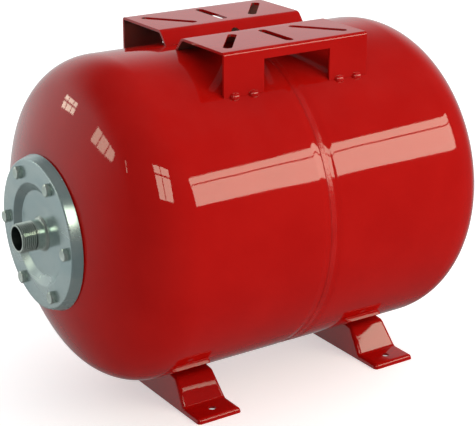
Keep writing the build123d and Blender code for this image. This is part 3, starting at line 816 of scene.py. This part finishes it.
collar_line = rounded([
    (collar_box[1].x, PIPE_RADIUS - 0.15 * MM, 0),
    (collar_box[1].x, COLLAR, 0.3 * MM),
    (collar_box[1].x - 1.2 * MM, COLLAR - 1.3 * MM, 1.0 * MM),
    (collar_box[0].x + 0.6 * MM, PIPE_RADIUS + 1.2 * MM, 0.8 * MM),
    (collar_box[0].x, PIPE_RADIUS - 0.15 * MM, 0),
])
place(turn("nipple_weld_collar", collar_line, zinc_bolts, 256, ripple_radius), "vessel", "zinc_plate",
      "nipple_weld")

# %% [markdown]
# ## Flange bolts
# Six hexagon bolts hold the cover. A real head isn't a sharp prism: a cone cuts its corners, which
# leaves a round facet on top and curved edges down the flats. Taking the smaller of the hexagon's and
# the cone's radius at each angle gives exactly that. The first head is modelled, and the tree adds
# the rest.


# %% Hexagon heads
def hexagon_radius(flats, angle):
    """Distance from the middle of a hexagon to its side at this angle."""
    return flats / 2 / math.cos((angle + math.pi / 6) % (math.pi / 3) - math.pi / 6)


def hexagon_head(name, flats, base_x, height, side, material):
    """A chamfered hexagon head about the X axis, standing on base_x and rising towards side."""
    corner = flats / 2 / math.cos(math.pi / 6)
    washer_face = 0.47 * flats
    chamfer_depth = 0.09 * flats
    chamfer_edge = 0.455 * flats
    past_corners = 1.0
    levels = [(0, 0), (0, washer_face), (0.5 * MM, washer_face), (0.5 * MM, past_corners)]
    for step in range(5):
        share = step / 4
        levels.append((height - chamfer_depth * (1 - share), corner - share * (corner - chamfer_edge)))
    levels += [(height, 0.40 * flats), (height - 0.15 * MM, 0.33 * flats), (height - 0.15 * MM, 0)]
    line = [(base_x + side * rise, radius) for rise, radius in levels]

    def shape(x, r, angle):
        """The smaller of the cone's radius and the hexagon's."""
        return min(r, hexagon_radius(flats, angle))

    return turn(name, line, material, 72, shape, centre=0.0, sharp=28)


bolt_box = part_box("flange_bolts")
BOLT_FLATS = 13 * MM
HEAD_HEIGHT = FACE_X - bolt_box[0].x
BOLT_SHANK = 4 * MM
BOLT_COUNT = 6
BOLT_CIRCLE = 70.8 * MM
FIRST_BOLT = math.pi / 2
bolts = hexagon_head("flange_bolt_heads", BOLT_FLATS, FACE_X, HEAD_HEIGHT, -1, zinc_bolts)
round_the_axis(bolts, BOLT_COUNT, BOLT_CIRCLE, zinc_bolts, FIRST_BOLT)
place(bolts, "vessel", "zinc_bolts", "flange_bolts")
shank_line = rounded([
    (FACE_X, 0, 0),
    (FACE_X, BOLT_SHANK, 0),
    (bolt_box[1].x, BOLT_SHANK, 0.8 * MM),
    (bolt_box[1].x, 0, 0),
])
shanks = turn("flange_bolt_shanks", shank_line, zinc_bolts, 32, centre=0.0)
round_the_axis(shanks, BOLT_COUNT, BOLT_CIRCLE, zinc_bolts, FIRST_BOLT)
place(shanks, "vessel", "zinc_bolts")

# %% [markdown]
# ## The air valve
# At the far end a valve stem is screwed into a welded boss. It carries a dust cap with ribs to grip,
# and a round plastic cover is pushed over it all. The cover and the cap move, so each has its own
# body to ride on, and what they uncover is finished too.

# %% Boss, stem and core
place(softened("valve_boss_painted", "valve_boss", red_paint, 0.5 * MM), "vessel", "red_paint", "valve_boss")
place(softened("boss_weld_painted", "boss_weld", red_weld, 0.2 * MM, 50), "vessel", "red_paint", "boss_weld")
stem_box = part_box("valve_stem")
cap_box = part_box("dust_cap")
STEM_RADIUS = 3.85 * MM
STEM_THREAD_LENGTH = 5.6 * MM
STEM_THREAD_RADIUS = 3.60 * MM
place(softened("valve_stem_body", "valve_stem", brass, 0.15 * MM), "vessel", "brass", "valve_stem")
place(softened("valve_core_body", "valve_core", brass, 0.05 * MM), "vessel", "brass", "valve_core")
place(softened("valve_seal_ring", "valve_seal", black_rubber, 0.15 * MM), "vessel", "black_rubber",
      "valve_seal")
stem_thread = helix("valve_stem_thread", brass, stem_box[1].x - 6.4 * MM, STEM_THREAD_LENGTH, 7,
                    STEM_THREAD_RADIUS, STEM_THREAD_RADIUS, 0.24 * MM, 4)
place(stem_thread, "vessel", "brass")

# %% Spring, pin and seals
spring_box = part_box("core_spring")
WIRE = 0.3 * MM
SPRING_RADIUS = 1.4 * MM
SPRING_TURNS = 5
spring_length = spring_box[1].x - spring_box[0].x - WIRE
spring = helix("core_spring_coil", spring_steel, spring_box[0].x + WIRE / 2, spring_length, SPRING_TURNS,
               SPRING_RADIUS, SPRING_RADIUS, WIRE / 2, 12)
place(spring, "vessel", "spring_steel", "core_spring")
# The pin's 1 mm of travel leaves the spring about four fifths of its length.
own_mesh(spring)
place(softened("valve_pin_turned", "valve_pin", brass, 0.05 * MM), "valve_pin", "brass", "valve_pin")
place(softened("core_seal_ring", "core_seal", black_rubber, 0.08 * MM), "valve_pin", "black_rubber",
      "core_seal")

# %% Dust cap
CAP_RADIUS = (cap_box[1].y - cap_box[0].y) / 2
CAP_FLOOR = cap_box[1].x - 1.4 * MM
CAP_WALL_INSIDE = STEM_RADIUS + 0.05 * MM
CAP_RIBS = 18
RIB_RADIUS = 0.45 * MM
cap_line = rounded([
    (cap_box[0].x, CAP_WALL_INSIDE, 0.1 * MM),
    (cap_box[0].x, CAP_RADIUS - 0.3 * MM, 0.2 * MM),
    (cap_box[1].x, CAP_RADIUS - 0.3 * MM, 0.8 * MM),
    (cap_box[1].x, 0, 0),
    (CAP_FLOOR, 0, 0),
    (CAP_FLOOR, CAP_WALL_INSIDE, 0.1 * MM),
])
place(turn("dust_cap_body", cap_line, black_plastic, 72), "dust_cap", "black_plastic", "dust_cap")
rib_line = rounded([
    (cap_box[0].x + 0.3 * MM, 0, 0),
    (cap_box[0].x + 0.3 * MM, RIB_RADIUS, 0.2 * MM),
    (cap_box[1].x - 1.2 * MM, RIB_RADIUS, 0.3 * MM),
    (cap_box[1].x - 1.2 * MM, 0, 0),
])
ribs = turn("dust_cap_ribs", rib_line, black_plastic, 10, centre=0.0)
round_the_axis(ribs, CAP_RIBS, CAP_RADIUS - 0.46 * MM, black_plastic)
place(ribs, "dust_cap", "black_plastic")
place(softened("dust_cap_washer_ring", "dust_cap_washer", black_rubber, 0.08 * MM), "cap_lift",
      "black_rubber", "dust_cap_washer")

# %% Valve cover
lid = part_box("valve_cover")
LID_RADIUS = (lid[1].y - lid[0].y) / 2
LID_WALL = 2 * MM
SLEEVE_WALL = 1.8 * MM
SLEEVE = BOSS_RADIUS + 0.25 * MM
SLEEVE_X = CROWN_CENTRE + CROWN + 2 * MM
lid_line = rounded([
    (lid[0].x, LID_RADIUS, 0.6 * MM),
    (lid[1].x, LID_RADIUS, 6 * MM),
    (lid[1].x, 0, 0),
    (lid[1].x - LID_WALL, 0, 0),
    (lid[1].x - LID_WALL, SLEEVE, 0.4 * MM),
    (SLEEVE_X, SLEEVE, 0.4 * MM),
    (SLEEVE_X, SLEEVE + SLEEVE_WALL, 0.4 * MM),
    (lid[1].x - LID_WALL, SLEEVE + SLEEVE_WALL, 0.6 * MM),
    (lid[1].x - LID_WALL, LID_RADIUS - LID_WALL, 4 * MM),
    (lid[0].x, LID_RADIUS - LID_WALL, 0.4 * MM),
], steps=8)
place(turn("valve_cover_moulded", lid_line, black_plastic, 160), "valve_cover", "black_plastic",
      "valve_cover")

# %% [markdown]
# ## The bladder
# The rubber bag sits inside the tank, with its lip clamped under the cover. A softened copy of the
# frame's bag with smooth shading is enough for a moulded rubber skin.

# %% Bladder
place(softened("bladder_bag", "bladder", black_rubber, 0), "vessel", "black_rubber", "bladder")

# %% [markdown]
# ## The studio
# Gloss paint shows its surroundings more than itself, so the room is designed with care. The camera
# sees plain white. Reflections see a room that is bright behind the tank and dim in front, and
# a few windows with bars, which give the tank its long pale bands. The windows hide from the
# camera. Only the big side window lights the tank; the others are there for their reflections, so
# that the front end stays in shade.

# %% Floor
floor_material = bpy.data.materials.new("studio_floor")
floor_material.use_nodes = True
floor_shader = floor_material.node_tree.nodes["Principled BSDF"]
floor_shader.inputs["Base Color"].default_value = (0.95, 0.95, 0.95, 1)
floor_shader.inputs["Roughness"].default_value = 0.9
floor_shader.inputs["Emission Color"].default_value = (1, 1, 1, 1)
seen = floor_material.node_tree.nodes.new("ShaderNodeLightPath")
FLOOR_GLOW = 0.50
glow_to_camera = math_node(floor_material.node_tree, "MULTIPLY", seen.outputs["Is Camera Ray"], FLOOR_GLOW)
floor_material.node_tree.links.new(glow_to_camera, floor_shader.inputs["Emission Strength"])
floor_mesh = bpy.data.meshes.new("studio_floor")
FLOOR_HALF = 6.0
floor_corners = [(-FLOOR_HALF, -FLOOR_HALF, 0), (FLOOR_HALF, -FLOOR_HALF, 0), (FLOOR_HALF, FLOOR_HALF, 0),
                 (-FLOOR_HALF, FLOOR_HALF, 0)]
floor_mesh.from_pydata(floor_corners, [], [(0, 1, 2, 3)])
floor_mesh.materials.append(floor_material)
floor = bpy.data.objects.new("studio_floor", floor_mesh)
bpy.context.scene.collection.objects.link(floor)
floor.visible_glossy = False
print("floor half width", FLOOR_HALF)


# %% Windows
WINDOW_COLOUR = (1.0, 0.98, 0.78, 1)


def window(name, place_at, aim, width, height, rows, columns, strength, roll=0.0, bar=0.03, lights=True):
    """A window of glowing panes with bars between them, facing the point aim.

    rows and columns are lists of shares of the height and the width. Without lights the window is
    only seen in reflections, and leaves the paint's own shade as it is.
    """
    forward = (Vector(aim) - Vector(place_at)).normalized()
    turn_to = forward.to_track_quat("-Z", "Y").to_matrix().to_4x4()
    turn_to = Matrix.Translation(place_at) @ turn_to @ Matrix.Rotation(math.radians(roll), 4, "Z")
    verts, faces = [], []
    y = height / 2
    for row in rows:
        x = -width / 2
        for column in columns:
            low_x, high_x = x + bar / 2, x + column * width - bar / 2
            low_y, high_y = y - row * height + bar / 2, y - bar / 2
            start = len(verts)
            verts += [(low_x, low_y, 0), (high_x, low_y, 0), (high_x, high_y, 0), (low_x, high_y, 0)]
            faces.append((start, start + 1, start + 2, start + 3))
            x += column * width
        y -= row * height
    mesh = bpy.data.meshes.new(name)
    mesh.from_pydata(verts, [], faces)
    mesh.transform(turn_to)
    glow = bpy.data.materials.new(name)
    glow.use_nodes = True
    tree = glow.node_tree
    tree.nodes.clear()
    light = tree.nodes.new("ShaderNodeEmission")
    light.inputs["Strength"].default_value = strength
    light.inputs["Color"].default_value = WINDOW_COLOUR
    output = tree.nodes.new("ShaderNodeOutputMaterial")
    tree.links.new(light.outputs[0], output.inputs["Surface"])
    mesh.materials.append(glow)
    pane = bpy.data.objects.new(name, mesh)
    bpy.context.scene.collection.objects.link(pane)
    pane.visible_camera = False
    pane.visible_diffuse = lights
    print("window", name, len(faces), "panes")
    return pane


NEAR_SIDE = (0.0, -0.166, 0.304)
KNUCKLE_SIDE = (-0.198, -0.154, 0.311)
window("side_window", (1.275, -1.489, 1.096), NEAR_SIDE, 1.30, 0.72, [0.27, 0.73], [0.94, 0.06], 4.9, -11,
       bar=0.03)
window("corner_window", (-0.933, -1.617, 1.459), KNUCKLE_SIDE, 0.90, 0.88, [0.28, 0.72], [0.45, 0.55],
       5.0, bar=0.045, lights=False)
window("narrow_window", (-2.2, -0.05, 1.1), (-0.222, -0.117, 0.331), 0.07, 0.30, [0.5, 0.5], [1.0], 4.0,
       lights=False)
window("left_window", (-1.963, 0.718, 0.927), (-0.229, -0.087, 0.34), 0.58, 0.22, [1.0], [0.3, 0.35, 0.35],
       4.2, -8, bar=0.025, lights=False)
window("back_window", (-1.32, 1.574, 0.896), (-0.231, -0.017, 0.367), 0.40, 0.16, [0.45, 0.55],
       [0.3, 0.4, 0.3], 6.0, 18, bar=0.02, lights=False)

# %% Room light
BRIGHT_WALL = 0.58
DIM_ROOM = 0.08
RIGHT_LIGHT = 0.70
SKY_LIGHT = 0.42
BASE_LIGHT = 0.04
world = bpy.data.worlds.new("room")
bpy.context.scene.world = world
world.use_nodes = True
tree = world.node_tree
tree.nodes.clear()
direction = tree.nodes.new("ShaderNodeTexCoord")
axes = tree.nodes.new("ShaderNodeSeparateXYZ")
tree.links.new(direction.outputs["Generated"], axes.inputs[0])
behind = between(tree, axes.outputs["Y"], 0.0, 0.85)
not_below = between(tree, axes.outputs["Z"], -0.85, -0.10)
not_above = between(tree, axes.outputs["Z"], 0.75, 0.25)
bright_wall = math_node(tree, "MULTIPLY", math_node(tree, "MULTIPLY", behind, not_below), not_above)
reflected = math_node(tree, "MULTIPLY_ADD", bright_wall, BRIGHT_WALL, DIM_ROOM)
from_right = between(tree, axes.outputs["X"], -0.9, 0.5)
sky = between(tree, axes.outputs["Z"], -0.3, 0.9)
soft = math_node(tree, "MULTIPLY_ADD", sky, SKY_LIGHT, BASE_LIGHT)
diffused = math_node(tree, "MULTIPLY_ADD", from_right, RIGHT_LIGHT, soft)
rays = tree.nodes.new("ShaderNodeLightPath")
by_gloss = tree.nodes.new("ShaderNodeMix")
tree.links.new(rays.outputs["Is Glossy Ray"], by_gloss.inputs["Factor"])
tree.links.new(diffused, by_gloss.inputs[2])
tree.links.new(reflected, by_gloss.inputs[3])
by_camera = tree.nodes.new("ShaderNodeMix")
by_camera.inputs[3].default_value = 1.0
tree.links.new(rays.outputs["Is Camera Ray"], by_camera.inputs["Factor"])
tree.links.new(by_gloss.outputs[0], by_camera.inputs[2])
background = tree.nodes.new("ShaderNodeBackground")
output = tree.nodes.new("ShaderNodeOutputWorld")
background.inputs["Color"].default_value = (0.97, 1.0, 1.0, 1)
tree.links.new(by_camera.outputs[0], background.inputs["Strength"])
tree.links.new(background.outputs[0], output.inputs["Surface"])
bpy.context.scene.view_settings.view_transform = "Standard"
print("room light ready")

# %% Camera
CAMERA_PLACE = Vector((-0.8950, -1.3281, 0.7765))
CAMERA_TURN = math.radians(33.8413)
CAMERA_TILT = math.radians(-20.0541)
CAMERA_ROLL = math.radians(0.2268)
forward = Vector((
    math.sin(CAMERA_TURN) * math.cos(CAMERA_TILT),
    math.cos(CAMERA_TURN) * math.cos(CAMERA_TILT),
    math.sin(CAMERA_TILT),
))
level = Vector((math.cos(CAMERA_TURN), -math.sin(CAMERA_TURN), 0))
right = math.cos(CAMERA_ROLL) * level + math.sin(CAMERA_ROLL) * level.cross(forward)
up = right.cross(forward)
pose = Matrix((right, up, -forward)).transposed().to_4x4()
pose.translation = CAMERA_PLACE
lens = bpy.data.cameras.new("camera")
lens.lens = 108.5352
lens.sensor_width = 36
lens.sensor_fit = "HORIZONTAL"
lens.shift_x = -0.0018
lens.shift_y = 0.0032
camera = bpy.data.objects.new("camera", lens)
camera.matrix_world = pose
bpy.context.scene.collection.objects.link(camera)
bpy.context.scene.camera = camera
print("camera at", [round(value, 3) for value in CAMERA_PLACE])
